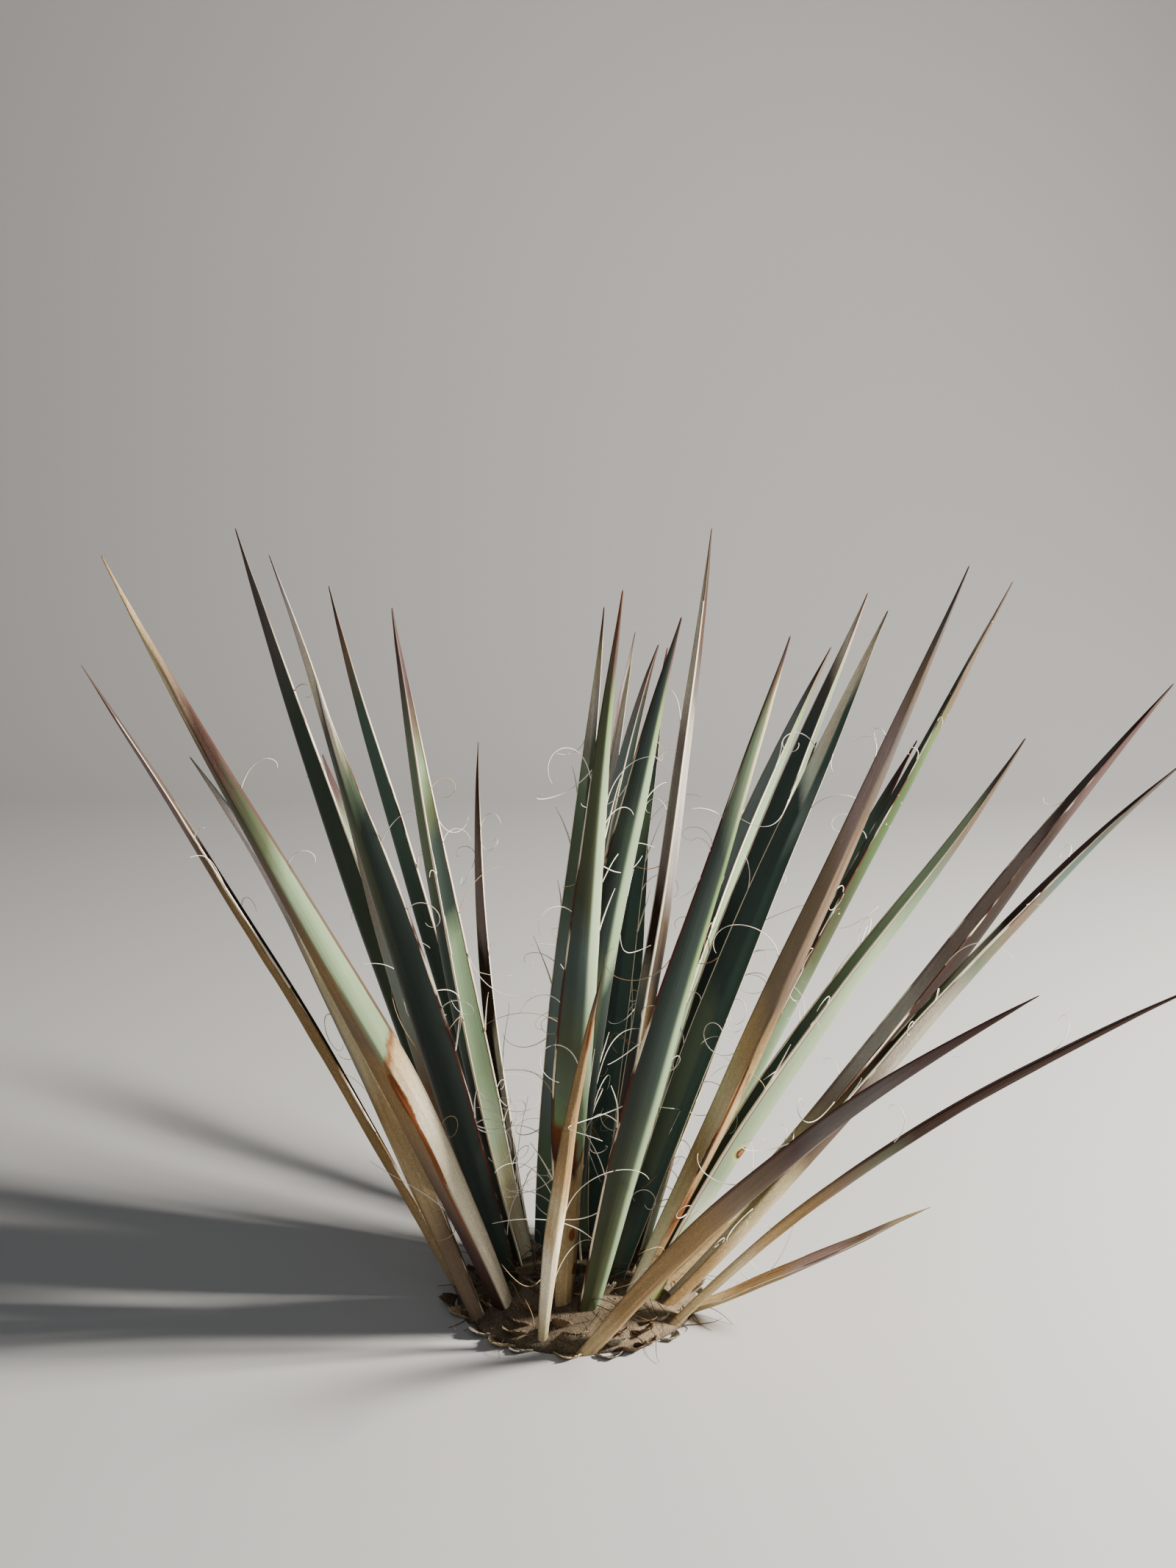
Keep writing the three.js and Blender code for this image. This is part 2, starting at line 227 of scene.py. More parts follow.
# %% Section curves
margin_thickness = 1.6
hollow_power = 2.4
belly_power = 2.6
keel_place = np.array([0, 0.3, 0.7, 1])
keel_sharpness = np.array([0.1, 0.3, 0.6, 0.75])
keel_round = 0.14
across_count = 33

even = np.linspace(-1, 1, across_count)
across_row = 0.55 * even + 0.45 * np.sin(even * math.pi / 2)


def section_heights(place, halves, flesh, gutter):
    """Heights of the upper and the under face over the middle line, for each station and place across."""
    wing = halves[:, None] * gutter
    sharp = np.interp(place, keel_place, keel_sharpness)[:, None]
    flesh = flesh[:, None]
    margin = np.minimum(margin_thickness, flesh * 0.4)
    s = np.abs(across_row)[None, :]
    keel = np.sqrt(s**2 + keel_round**2) - keel_round
    upper_low, upper_high = flesh / 2 - wing / 2, wing / 2
    under_low, under_high = -flesh / 2 - wing / 2, wing / 2 - margin
    upper = upper_low + (upper_high - upper_low) * s**hollow_power
    belly = sharp * keel / (math.sqrt(1 + keel_round**2) - keel_round) + (1 - sharp) * s**belly_power
    under = under_low + (under_high - under_low) * belly
    return upper, under


upper, under = section_heights(np.array([0.5]), np.array([23.0]), np.array([5.5]), 0.5)
print("a 46 mm leaf is", round(float((upper - under).max()), 1), "mm thick at most")

# %% [markdown]
# ## Tones
# Living flesh runs from blue-green slate to yellow-green, dry flesh from straw to grey, and tips and
# margins are purple-brown. Dry flesh is also wrinkled and dull, so the tones are listed by how dry
# they are, from 0 to 1. That dryness rides along in the colour ramps as their alpha. Three tones are
# no flesh colour but painted light: the near-black green #2a3530 and the near-black brown #2a201a are
# painted shade for stretches in shadow, and the pale green-white #ccd6c0 is painted sunlight.

# %% Tone table
# painted shade: #2a3530 and #2a201a; painted light: #ccd6c0
tones_by_dryness = {
    0.0: "slate #3d4a45 deep #39463a jade #75896a sage #7c8f6f fern #687d4d leek #52663c ivy #405230"
         " reed #5e6b56 ink #2a3530",
    0.05: "steel #4a5e56 pale #9aad8b olive #4c533a moss #3a3f2b lime #b1b877",
    0.1: "mist #ccd6c0 silver #818d88",
    0.3: "plum #4a3735",
    0.4: "smoke #59524e",
    0.5: "drab #645443 taupe #7a6653 flame #9c5c3d",
    0.6: "mauve #9c8580 lilac #c2b6b2 umber #3b261d soot #2a201a",
    0.7: "rust #75421f",
    0.8: "hay #cbbb92 cream #ecdfc2",
    0.9: "ash #aaa190",
    1.0: "tan #9c7f56 straw #c3aa7e ochre #b8986a",
}


def linear(code, alpha=1.0):
    """A hex colour as the linear values that shaders use, with an alpha."""
    parts = [int(code[i:i + 2], 16) / 255 for i in (1, 3, 5)]
    return (*(p / 12.92 if p <= 0.04045 else ((p + 0.055) / 1.055) ** 2.4 for p in parts), alpha)


tones = {}
for dryness, listed in tones_by_dryness.items():
    words = listed.split()
    tones.update({name: linear(code, dryness) for name, code in zip(words[::2], words[1::2])})
print(len(tones), "tones")

# %% [markdown]
# ## What each leaf looks like
# From foot to tip each leaf changes tone: a dry straw foot, sometimes a rust-brown front where drying
# stopped, green flesh, then a purple tip and a spine. One wing often dries or reddens first. Many
# wing tones also hold painted light and shade: a wing or stretch that lay in shade or in another
# leaf's shadow takes a darker tone than its flesh, and some sunlit stretches take a paler one, so one
# wing is often darker than the other for that reason too. In the table each wing follows a slash:
# left, then right, as seen on the upper face with the foot at the bottom, or one text for both. A
# number before a tone is the percentage of the length where it is pure, 28-36 is a stretch of it,
# and in between the tones blend. The rim says how much of the margin is white. A scar has a tone, a
# place along and across, and half its length and width in mm.

# %% Finishes
# Painted shade: the near-black green stretches on left_leaf_6, left_leaf_8, middle_leaf_5, middle_leaf_6,
# right_leaf_1, right_leaf_3 and right_leaf_6, and the near-black brown ones on left_leaf_2, right_leaf_8
# and right_leaf_9. Painted light: the cream foot of left_leaf_1's left wing, which is partly its own pale
# straw, the silver of middle_leaf_1 and of right_leaf_2's left wing, the pale green-white and cream near
# right_leaf_4's tip, the pale green-white on right_leaf_7's right wing and the pale upper stretch of its
# left wing.
looks = """
left_leaf_1 rim 0.3 /
0-28 cream 36 straw 37.7 rust 38.7-61 sage 66 olive 70 moss 76-80 umber 84 taupe 92 straw 97 tan 100 rust /
0 umber 10 plum 20 taupe 30-37 tan 40 taupe 50 tan 60 taupe 72 olive 78 taupe 86-92 hay 97 flame 100 umber

left_leaf_2 /
0 straw 12 ochre 20-60 tan 68 taupe 76-86 mauve 93 plum 100 umber /
0 tan 14 plum 20-60 soot 68 plum 76 taupe 86 plum 100 umber

left_leaf_3 /
0-12 taupe 20 straw 36 ochre 44-60 hay 68 ash 76-86 lilac 93 ash 100 umber /
0-14 taupe 20 tan 28 hay 36 tan 44-70 ash 78-86 lilac 93 ash 100 umber

left_leaf_4 rim 0.6 /
0-74 deep 84-93 smoke 100 umber

left_leaf_5 rim 0.9 /
0 tan 26 taupe 36-44 silver 52-62 ash 68 silver 76 smoke 82 cream 92 lilac 97 plum 100 umber

left_leaf_6 /
0 deep 10-78 ink 84 jade 91 cream 96 lilac 100 smoke /
0 deep 30-50 ink 58 deep 70-78 olive 86 deep 92 moss 100 umber

left_leaf_7 rim 0.7 /
0-50 slate 62-80 steel 88 taupe 95 plum 100 umber

left_leaf_8 rim 0.8 /
0-12 steel 20 ink 28 slate 34 steel 42-52 slate 62-78 reed 86 smoke 92 plum 100 umber /
0 cream 8 hay 18 pale 28 sage 35-48 jade 53-63 ink 68 olive 74 sage 80 drab 85-92 plum 100 umber

left_leaf_9 rim 0.9 /
0-55 umber 60-76 mauve 84 taupe 90 plum 100 umber /
0-14 smoke 20-38 cream 43-53 umber 60-70 mauve 80 taupe 87 plum 100 umber

middle_leaf_1 rim 1 /
0 steel 12 jade 20-40 silver 52-62 reed 70 jade 76 ash 83 cream 90 hay 95 plum 100 rust /
0 steel 20 silver 50 reed 62-70 slate 76 reed 83 lilac 90 hay 95 plum 100 rust

middle_leaf_2 /
0 tan 12-20.3 straw 21.5 rust 22.5 sage 40-60 pale 76 sage 84 fern 89 plum 96 umber 100 rust /
0 straw 18 tan 20 umber 25 rust 26.2 fern 30 reed 38 olive 46-52 slate 58 moss 76-85 olive 90 drab 96 rust
100 flame

middle_leaf_3 rim 0 /
0-12 hay 30 cream 36 straw 44-75 tan 84 taupe 92-100 umber /
0 hay 12-20 cream 28 straw 36 hay 44 ochre 52-84 tan 92 plum 100 rust

middle_leaf_4 rim 0.8 /
0-50 smoke 66 mauve 76 ash 84 mauve 92 lilac 100 umber /
0-50 smoke 66 mauve 76 lilac 84 cream 92 hay 100 umber

middle_leaf_5 rim 1 /
0 slate 30-80 silver 90 mauve 95 plum 100 umber /
0 sage 40 slate 55 deep 68-86 ink 92-100 umber

middle_leaf_6 /
0-45 ink 50-70 sage 78 jade 85 fern 92 plum 98-100 umber /
0 deep 44 olive 52-62 ink 68 deep 76-92 ink 98-100 umber

middle_leaf_7 rim 0.8 /
0-30 steel 36-75 slate 88 mauve 95 plum 100 rust /
0-60 steel 68 jade 76 steel 88 mauve 95 plum 100 rust

middle_leaf_8 rim 0.9 streaks 0.7 /
0 taupe 24 smoke 30 steel 36 ash 40-46 umber 52 mauve 60 ash 68 mauve 75-86 cream 93 hay 100 umber /
0 straw 30 tan 36 smoke 44 taupe 50-62 lilac 70 ash 75 smoke 82-100 umber

right_leaf_1 /
0 jade 30-46 sage 54 fern 68 leek 74 fern 86-92 hay 96 plum 100 umber /
0 olive 10 moss 40-70 ink 77 reed 85 jade 92 taupe 97 plum 100 umber

right_leaf_2 rim 0.8 /
0-50 slate 58-84 silver 92 smoke 100 umber /
0 jade 50 sage 76 jade 85 fern 92 drab 100 umber

right_leaf_3 rim 1 /
0-30 deep 36-44 ink 52-76 slate 84 smoke 91 cream 100 rust /
0 fern 4 sage 12 taupe 20 sage 50 silver 68 jade 76 reed 84 jade 92 mauve 100 flame

right_leaf_4 rim 0.8 /
0 reed 10 slate 15-38 reed 43-70 slate 74 mist 80-88 cream 93 hay 100 mauve /
0-62 steel 68 silver 76-85 steel 92 cream 97 plum 100 umber

right_leaf_5 rim 0.2 /
0-8 tan 12 rust 16 tan 20 ochre 28 straw 36 tan 43 drab 52-62 taupe 68 drab 78 smoke 86 drab 92 smoke
100 umber /
0 cream 10 hay 20 tan 28 hay 36 ochre 44-60 taupe 68-78 mauve 84 taupe 92 smoke 100 umber

right_leaf_6 specks 0.5 /
0-10 tan 14-38 olive 44 moss 50 ink 56 deep 62 steel 68 slate 78 deep 85 slate 92 cream 100 umber /
0-10 straw 13 lime 26 sage 36 jade 44 olive 52 moss 60-70 ivy 76 leek 82-92 drab 100 umber

right_leaf_7 rim 0.8 /
0 deep 15 moss 30 deep 42 slate 52 reed 60 sage 70-84 pale 90 smoke 97 plum 100 umber /
0-8 lime 13 mist 20-62 pale 69 jade 76 reed 82-92 drab 100 umber

right_leaf_8 /
0-10 cream 20 hay 28 mauve 36-44 lilac 52-70 mauve 76 plum 84 smoke 92 umber 100 plum /
0 straw 20 tan 30 taupe 38-72 soot 80-92 plum 100 umber

right_leaf_9 /
0-5 cream 12 straw 20-28 tan 36 drab 42-47 soot 53 olive 60 ash 66 soot 76-84 plum 92 soot 100 umber /
0-5 ochre 12-20 hay 26 drab 36 plum 44-52 ash 60 reed 68 taupe 76 steel 84 deep 92 smoke 100 umber

right_leaf_10 rim 0.1 /
0 straw 30-36 tan 40 steel 46 taupe 55 mauve 66-100 plum /
0 straw 8-30 tan 38 taupe 44 drab 52 plum 58-70 smoke 76 plum 90-100 umber

right_leaf_11 rim 0.15 /
0 hay 33 tan 42 smoke 52 plum 60-80 smoke 86 plum 100 umber /
0-8 straw 13 hay 20 ochre 28 tan 36 taupe 44 olive 50-100 umber

right_leaf_12 rim 0.5 /
0-12 straw 20-36 tan 44-60 mauve 70 taupe 78 mauve 84 hay 92 straw 100 cream

back_leaf_1 /
0-18 straw 22 rust 24 jade 80 sage 90 plum 100 umber

back_leaf_2 /
0-35 straw 45 taupe 70 smoke 90 plum 100 umber

back_leaf_3 /
0-12 straw 15 rust 17 slate 40-80 steel 90 plum 100 umber

back_leaf_4 /
0 straw 20 hay 28 fern 80 jade 90 plum 100 umber

back_leaf_5 /
0-15 straw 20 jade 80 steel 90 plum 100 umber
"""
scars = {
    "left_leaf_1": [
        ("rust", 0.335, 0.02, 40, 4.6), ("rust", 0.26, 0.04, 62, 2.6), ("rust", 0.17, 0.2, 76, 1.3),
    ],
    "middle_leaf_2": [("rust", 0.11, 0.2, 9, 4), ("rust", 0.05, -0.2, 8, 5), ("rust", 0.17, 0.7, 12, 4)],
    "middle_leaf_3": [("rust", 0.84, 0, 22, 2)],
    "right_leaf_5": [
        ("umber", 0.23, -0.1, 34, 2.2), ("rust", 0.3, -0.2, 60, 1.6), ("rust", 0.14, -0.4, 40, 1.6),
    ],
    "right_leaf_7": [
        ("lime", 0.275, 0.45, 14, 9), ("umber", 0.275, 0.45, 8.5, 5.6), ("flame", 0.275, 0.45, 5, 3.2),
    ],
    "right_leaf_10": [("steel", 0.41, -0.3, 42, 3)],
}


def ramp_of(wing):
    """Pairs of place and tone, with a pair for each end of a stretch such as 28-36."""
    words = wing.split()
    pairs = zip(words[::2], words[1::2])
    return [(float(end) / 100, shade) for stretch, shade in pairs for end in stretch.split("-")]


finishes = {}
for paragraph in looks.strip().split("\n\n"):
    head, *wings = paragraph.split("/")
    name, *options = head.split()
    finish = {"rim": 0.45, "streaks": 0.28, "specks": 0}
    finish.update(zip(options[::2], map(float, options[1::2])))
    finishes[name] = {**finish, "left": ramp_of(wings[0]), "right": ramp_of(wings[-1])}


def dryness_along(name, wing, place):
    ramp = finishes[name][wing]
    return np.interp(place, [stop for stop, _ in ramp], [tones[shade][3] for _, shade in ramp])


print(len(finishes), "finishes")

# %% [markdown]
# ## Relief
# Dry flesh shrinks between its fibres, so it stands in fine lengthwise ridges. A bump map alone
# would leave the outline smooth, so a random surface, stretched lengthwise, moves the mesh itself,
# only as far as the flesh is dry.

# %% Random relief
ridge_mm = 0.75
fine_ridge_mm = 0.35
living_mm = 0.08
broad_cell = (3.4, 90)
fine_cell = (1.7, 34)
lattice_size = 64


def random_surface(x, y, seed):
    """Smooth random heights between -1 and 1 over two arrays of coordinates, one cell per unit."""
    lattice = np.random.default_rng(seed).uniform(-1, 1, (lattice_size, lattice_size))
    x0, y0 = np.floor(x).astype(int), np.floor(y).astype(int)
    fx, fy = x - x0, y - y0
    fx, fy = fx * fx * (3 - 2 * fx), fy * fy * (3 - 2 * fy)
    x0, x1, y0, y1 = (k % lattice_size for k in (x0, x0 + 1, y0, y0 + 1))
    near = lattice[x0, y0] * (1 - fx) + lattice[x1, y0] * fx
    far = lattice[x0, y1] * (1 - fx) + lattice[x1, y1] * fx
    return near * (1 - fy) + far * fy


def relief(name, place, across_mm, seed):
    """Height of the ridges, in millimetres, from how dry each wing is there."""
    dry = np.where(across_mm < 0, dryness_along(name, "left", place), dryness_along(name, "right", place))
    length = leaves[name]["length"] * place
    broad = random_surface(across_mm / broad_cell[0] + 20, length / broad_cell[1] + 4, seed)
    fine = random_surface(across_mm / fine_cell[0] + 40, length / fine_cell[1] + 9, seed + 7)
    return dry * (ridge_mm * broad + fine_ridge_mm * fine) + living_mm * broad


print("ridges rise up to", ridge_mm + fine_ridge_mm, "mm")

# %% [markdown]
# ## Building a leaf
# The leaf is drawn as rings of points joined into quads, with a ladder of quads to close the foot and
# a fan to close the tip. Each point stores three values for the shader: how far along, how far
# across, and its place on the skin in metres. A second map lays the leaf out as three strips side by
# side, so that a baked picture wastes little.

# %% Leaf mesh
station_count = 181
foot_depth_mm = 16.0
floor_mm = 0.3
strip_count = 3
strip_fill = 0.96
strip_inset = 0.02


def leaf_rings(name):
    """Points of every ring in millimetres, with their places along and across."""
    leaf = leaves[name]
    place = np.linspace(-foot_depth_mm / leaf["length"], 0.996, station_count)
    share = np.clip(place, 0, 1)
    halves = half_width(leaf, share)
    flesh = np.minimum(np.interp(share, flesh_place, flesh_thickness), halves * 1.2)
    middle, _, face, right = leaf_frame(name, place)
    upper, under = section_heights(share, halves, flesh, leaf["gutter"])
    across_mm = halves[:, None] * across_row
    grid = np.broadcast_to(share[:, None], across_mm.shape)
    quiet = np.clip((1 - np.abs(across_row)) * 12, 0, 1) * np.clip(halves / 6, 0, 1)[:, None]
    upper = upper + relief(name, grid, across_mm, seed_of[name]) * quiet
    under = under - relief(name, grid, across_mm, seed_of[name] + 300) * quiet
    heights = np.concatenate([upper, under[:, ::-1]], axis=1)
    sides = np.concatenate([across_mm, across_mm[:, ::-1]], axis=1)
    points = middle[:, None] + right[:, None] * sides[..., None] + face[:, None] * heights[..., None]
    points[..., 2] = np.maximum(points[..., 2], floor_mm)
    return place, points, sides


def net_faces(numbers):
    """Quads between the neighbours in a grid of point numbers."""
    corners = numbers[:-1, :-1], numbers[:-1, 1:], numbers[1:, 1:], numbers[1:, :-1]
    return np.stack(corners, -1).reshape(-1, 4)


def ring_faces(rings, around):
    """Quads between neighbouring rings, which close on themselves."""
    numbers = np.arange(rings * around).reshape(rings, around)
    return net_faces(np.column_stack([numbers, numbers[:, 0]]))


def smooth_mesh(name, points_mm, faces):
    mesh = bpy.data.meshes.new(name)
    mesh.from_pydata((np.asarray(points_mm) / 1000).tolist(), [], faces)
    mesh.polygons.foreach_set("use_smooth", np.ones(len(mesh.polygons), bool))
    return mesh


def place_piece(mesh, material):
    """Puts a mesh in the scene as an object of its name."""
    mesh.materials.append(material)
    piece = bpy.data.objects.new(mesh.name, mesh)
    bpy.context.collection.objects.link(piece)
    return piece


def lay_out_strips(mesh, rings, around):
    """The OFBake map: strips of rings side by side, with the tip's fan and the foot's ladder last."""
    rows_each = math.ceil((rings + 1) / strip_count)
    row, column = np.divmod(np.arange((rings - 1) * around), around)
    fan, ladder = np.arange(around), np.arange(around // 2 - 1)
    kinds = (
        (row, column, [0, 1, 1, 0], [0, 0, 1, 1]),
        (np.full_like(fan, rings - 1), fan, [0, 1, 0.5], [0, 0, 1]),
        (np.full_like(ladder, rings), ladder, [1, 0, 0, 1], [0, 0, 1, 1]),
    )
    places = []
    for row, column, right, up in kinds:
        strip, row = np.divmod(row[:, None], rows_each)
        u = (strip + strip_inset + strip_fill * (column[:, None] + right) / around) / strip_count
        v = strip_inset + strip_fill * (row + up) / rows_each
        places.append(np.stack([u, v], -1).reshape(-1, 2))
    mesh.uv_layers.new(name="OFBake").data.foreach_set("uv", np.concatenate(places).ravel())


def leaf_mesh(name):
    place, points, sides = leaf_rings(name)
    rings, around = sides.shape
    half = around // 2
    tip, _, _, _ = leaf_frame(name, [1.0])
    last = (rings - 1) * around
    fan = [(last + j, last + (j + 1) % around, last + around) for j in range(around)]
    ladder = [(k + 1, k, around - 1 - k, around - 2 - k) for k in range(half - 1)]
    faces = ring_faces(rings, around).tolist() + fan + ladder
    mesh = smooth_mesh(name + "_skin", np.concatenate([points.reshape(-1, 3), tip]), faces)

    along = np.append(np.repeat(np.clip(place, 0, 1), around), 1.0)
    across = np.append(np.tile(np.concatenate([across_row, across_row[::-1]]), rings), 0.0)
    under_side = np.append(np.tile(np.repeat([0.0, 1.0], half), rings), 0.0)
    skin = np.stack([np.append(sides.ravel(), 0) / 1000, along * leaves[name]["length"] / 1000,
                     seed_of[name] + under_side * 0.5], -1)
    for label, values in (("along", along), ("across", across)):
        mesh.attributes.new(label, "FLOAT", "POINT").data.foreach_set("value", values)
    mesh.attributes.new("skin", "FLOAT_VECTOR", "POINT").data.foreach_set("vector", skin.ravel())
    lay_out_strips(mesh, rings, around)
    return mesh


print("a leaf has", station_count, "rings of", 2 * across_count, "points")

# %% [markdown]
# ## Wiring shader nodes
# Every finish below is a graph of nodes. A small class keeps that short: it stands for a wire, so
# that a sum of two wires in the text becomes an Add node. The other helpers add one kind of node
# each, or start and end a group that several materials can share.

# %% Node helpers
class Wire:
    """A node's output. Sums, differences and products of wires and numbers become Math nodes."""

    def __init__(self, socket):
        self.socket = socket
        self.tree = socket.id_data

    def output(self, key):
        """Another output of the same node."""
        return Wire(self.socket.node.outputs[key])

    def __add__(self, other):
        return calc("ADD", self, other)

    def __sub__(self, other):
        return calc("SUBTRACT", self, other)

    def __mul__(self, other):
        return calc("MULTIPLY", self, other)

    def __abs__(self):
        return calc("ABSOLUTE", self)


def feed(socket, value):
    """Links an input to a wire, or sets it to a plain value."""
    if isinstance(value, Wire):
        value.tree.links.new(value.socket, socket)
    else:
        socket.default_value = value


def add_node(tree, kind, values=(), output=0, **options):
    """Adds a node, sets its options and feeds its inputs, in their order or by name."""
    node = tree.nodes.new("ShaderNode" + kind)
    for option, value in options.items():
        setattr(node, option, value)
    for key, value in values.items() if isinstance(values, dict) else enumerate(values):
        feed(node.inputs[key], value)
    return Wire(node.outputs[output])


def calc(operation, *values):
    tree = next(value.tree for value in values if isinstance(value, Wire))
    return add_node(tree, "Math", values, operation=operation)


def scaled(vector, factors):
    return add_node(vector.tree, "VectorMath", (vector, factors), operation="MULTIPLY")


def noise(vector, density, detail=2.0, roughness=0.5, distortion=0.0):
    """Noise with so many cells to the metre in each direction."""
    values = {"Vector": scaled(vector, density), "Scale": 1.0, "Detail": detail,
              "Roughness": roughness, "Distortion": distortion}
    return add_node(vector.tree, "TexNoise", values, "Fac")


def between(value, low, high, to_low=0.0, to_high=1.0):
    """A value carried smoothly from one range to another."""
    values = value, low, high, to_low, to_high
    return add_node(value.tree, "MapRange", values, interpolation_type="SMOOTHSTEP")


def mixed(share, first, second):
    return add_node(share.tree, "Mix", {"Factor": share, 6: first, 7: second}, 2, data_type="RGBA")


def shaded(color, value):
    return add_node(color.tree, "HueSaturation", {"Value": value, "Color": color})


def start_group(name, colours, vectors, numbers=""):
    """A node group with named inputs of three kinds, and the wires from them."""
    group = bpy.data.node_groups.new(name, "ShaderNodeTree")
    for kind, labels in (("Color", colours), ("Vector", vectors), ("Float", numbers)):
        for label in labels.split():
            group.interface.new_socket(name=label, in_out="INPUT", socket_type="NodeSocket" + kind)
    sockets = group.nodes.new("NodeGroupInput").outputs
    return group, {socket.name: Wire(socket) for socket in sockets}


def end_group(group, **results):
    """Gives a group its named outputs."""
    for label, wire in results.items():
        group.interface.new_socket(name=label, in_out="OUTPUT", socket_type=wire.socket.bl_idname)
    last = group.nodes.new("NodeGroupOutput")
    for label, wire in results.items():
        feed(last.inputs[label], wire)
    print(group.name, len(group.nodes), "nodes")


def use_group(tree, group, output="Color", **values):
    return add_node(tree, "Group", values, output, node_tree=group)


print("helpers ready")

# %% [markdown]
# ## How drying creeps up a leaf
# A leaf dries from its foot, faster along the margins than over the keel, so the front between straw
# and green is a ragged V. The colour ramps read the place along the leaf, bent by that V.

# %% Group: drying front
front_group, given = start_group("drying_front", "", "Skin", "Along Across Point Ragged")
ragged = (noise(given["Skin"], (260, 60, 1), detail=4, roughness=0.65) - 0.5) * given["Ragged"]
bend = abs(given["Across"]) * given["Point"]
end_group(front_group, Reach=given["Along"] + ragged - bend)

# %% [markdown]
# ## Streaks
# Fibres run the length of the leaf under its skin and show as streaks about a millimetre wide and a
# hand long: noise squeezed across and stretched along the skin. Broad clouds of waxy bloom lie over
# them.

# %% Group: streaks
streak_group, given = start_group("lengthwise_streaks", "Color", "Skin", "Strength Bloom")
threads = noise(given["Skin"], (1100, 9, 1), detail=3, roughness=0.6)
bands = noise(given["Skin"], (260, 4, 1))
grain = threads * 0.6 + bands * 0.4
clouds = noise(given["Skin"], (45, 14, 1), detail=3)
value = (grain - 0.5) * given["Strength"] + (clouds - 0.5) * given["Bloom"] + 1.0
end_group(streak_group, Color=shaded(given["Color"], value), Height=grain)

# %% [markdown]
# ## Wrinkles
# Between its ridges dry skin is covered in fine crossing wrinkles, like crumpled paper. They are far
# smaller than the mesh can carry, so they stay in the bump, with a little painted shade in their creases.

# %% Group: wrinkles
wrinkle_group, given = start_group("dry_wrinkles", "Color", "Skin", "Dryness")
folds = abs(noise(given["Skin"], (620, 170, 1), detail=4, roughness=0.7, distortion=1.2) - 0.5)
# painted shade: the colour is darkened along the creases
hollow = between(folds, 0.0, 0.09, 0.66, 1.0)
value = (hollow - 1.0) * given["Dryness"] + 1.0
end_group(wrinkle_group, Color=shaded(given["Color"], value), Height=folds * 2.0 * given["Dryness"])

# %% [markdown]
# ## The margin
# The leaf's edge is horny: a dark red-brown line, and outside it a bone-white rim where fibres have
# torn away. The rim is broken here and there, and it fades towards the tip, which is dark all round.

# %% Group: margin
margin_group, given = start_group("horny_margin", "Color Rim Line", "Skin", "Along Across Whole Dryness")
torn = noise(given["Skin"], (90, 24, 1), detail=3) - 0.5
edge = abs(given["Across"]) + torn * 0.05
line_share = calc("SUBTRACT", 0.85, given["Dryness"] * 0.7)
with_line = mixed(between(edge, 0.925, 0.95) * line_share, given["Color"], given["Line"])
patches = noise(given["Skin"], (3, 14, 1), detail=3) + (given["Whole"] - 0.5)
toward_tip = between(given["Along"], 0.7, 0.93, 1.0, 0.1)
rim_mask = between(edge, 0.955, 0.97) * between(patches, 0.45, 0.55) * toward_tip
end_group(margin_group, Color=mixed(rim_mask, with_line, given["Rim"]))

# %% [markdown]
# ## Scars and specks
# Scorch streaks, rust blotches and the one eye-shaped scar are each an ellipse on the skin with a
# ragged edge. Pale specks are random cells of a Voronoi texture, of which only some are filled.

# %% Groups: scar and specks
scar_group, given = start_group("scar", "Color Scar", "Skin Place Reach")
away = add_node(scar_group, "VectorMath", (given["Skin"], given["Place"]), operation="SUBTRACT")
shrunk = scaled(away, given["Reach"])
size = add_node(scar_group, "VectorMath", (shrunk,), "Value", operation="LENGTH")
rough = noise(given["Skin"], (420, 130, 1), detail=4, roughness=0.65) - 0.5
inside = between(size + rough * 0.7, 1.1, 0.75)
end_group(scar_group, Color=mixed(inside, given["Color"], given["Scar"]))

speck_group, given = start_group("pale_specks", "Color Speck", "Skin", "Amount")
cell_inputs = {"Vector": scaled(given["Skin"], (130, 110, 1)), "Scale": 1.0}
cells = add_node(speck_group, "TexVoronoi", cell_inputs, "Distance")
pick = add_node(speck_group, "SeparateColor", (cells.output("Color"),))
dot = between(cells, 0.14, 0.06) * calc("LESS_THAN", pick, given["Amount"])
end_group(speck_group, Color=mixed(dot, given["Color"], given["Speck"]))

# %% [markdown]
# ## One material for each leaf
# The wing's ramps are read at the drying front, mixed over the keel, and then take streaks, wrinkles,
# scars, specks and the margin. A dull bloom keeps the shine low. Dry flesh is duller still, so the
# ramp's alpha also drives roughness.

# %% Leaf material
line_brown = linear("#4a231b")
speck_pale = linear("#b9c08c")
front_point = 0.035
front_ragged = 0.022
keel_blend = 0.16
bloom = 0.28
dry_streaks = 0.9
streak_relief = 0.5
wax_roughness = 0.46
straw_roughness = 0.85
bloom_gloss = 0.18
plain_gloss = 0.5
leaf_bump_mm = 0.9
bump_strength = 0.8


def start_material(name):
    material = bpy.data.materials.new(name)
    material.use_nodes = True
    return material


def dress(material, color, roughness, gloss=plain_gloss, height=None, bump_mm=0.0):
    """Feeds a material's surface, with a bump where a height is given."""
    surface = material.node_tree.nodes["Principled BSDF"].inputs
    feed(surface["Base Color"], color)
    feed(surface["Roughness"], roughness)
    feed(surface["Specular IOR Level"], gloss)
    if height:
        values = {"Strength": bump_strength, "Distance": bump_mm / 1000, "Height": height}
        feed(surface["Normal"], add_node(height.tree, "Bump", values))
    return material


def tone_ramp(reach, stops):
    """A colour ramp read at the reach, whose alpha is dryness. It starts at the foot."""
    ramp = add_node(reach.tree, "ValToRGB", (reach,))
    elements = ramp.socket.node.color_ramp.elements
    elements.remove(elements[-1])
    elements[0].color = tones[stops[0][1]]
    for place, shade in stops[1:]:
        elements.new(place).color = tones[shade]
    return ramp


